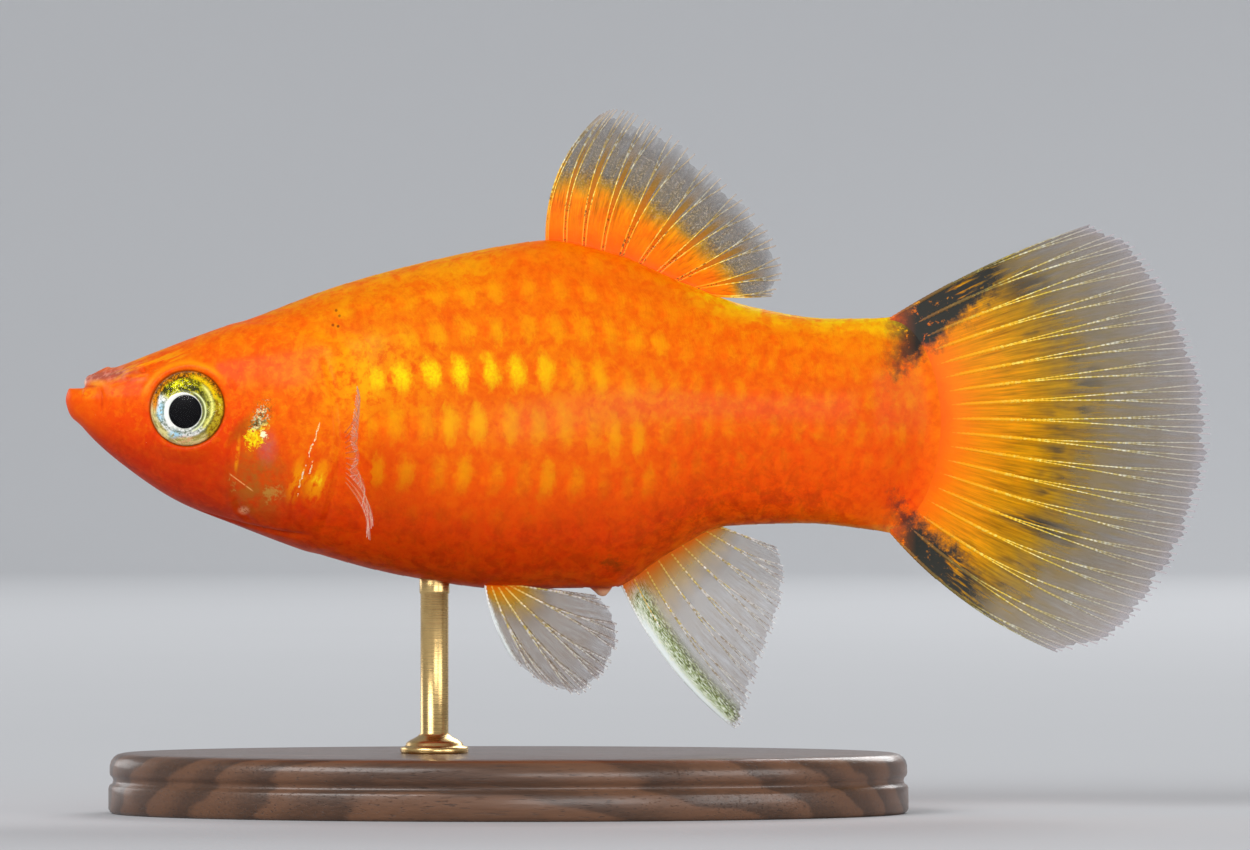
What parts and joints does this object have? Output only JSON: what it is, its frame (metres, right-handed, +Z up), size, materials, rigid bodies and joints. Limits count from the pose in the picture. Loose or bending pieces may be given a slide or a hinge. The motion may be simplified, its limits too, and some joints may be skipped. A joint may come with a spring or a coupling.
{
  "type": "red comet platy fish model",
  "caption": "Life-size model of a red comet platy, a small live-bearing aquarium fish with a black-marked tail, swimming level on a rod over an oval wooden base.",
  "frame": {"origin": "on the stand's underside, halfway between the snout and the rear edge of the tail fin, in the fish's middle plane", "axes": "the fish swims to -X with its left side to -Y, +X points to its tail and +Z is up"},
  "size_m": [0.0572, 0.024, 0.0352],
  "materials": {
    "head_skin": "wet red-orange skin without scales",
    "body_skin": "wet orange skin under overlapping scales",
    "gill_cover": "silver and yellow iridescent plate",
    "eye": "golden iris, black pupil, clear glossy cornea",
    "dorsal_fin": "thin amber membrane on golden rays",
    "tail_fin": "thin yellow membrane, clear at the edge, with black marks",
    "clear_fin": "thin clear membrane on pale rays",
    "base_wood": "dark satin hardwood",
    "rod_brass": "polished brass"
  },
  "bodies": {
    "root": {"head": "head_skin", "jaw": "head_skin", "gill_cover_left": "gill_cover", "gill_cover_right": "gill_cover", "eye_left": "eye", "eye_right": "eye", "torso": "body_skin", "tail_stalk": "body_skin", "fin_dorsal": "dorsal_fin", "fin_tail": "tail_fin", "fin_anal": "clear_fin", "fin_pelvic_left": "clear_fin", "fin_pelvic_right": "clear_fin", "fin_pectoral_left": "clear_fin", "fin_pectoral_right": "clear_fin", "stand_base": "base_wood", "stand_rod": "rod_brass"}
  },
  "joints": []
}
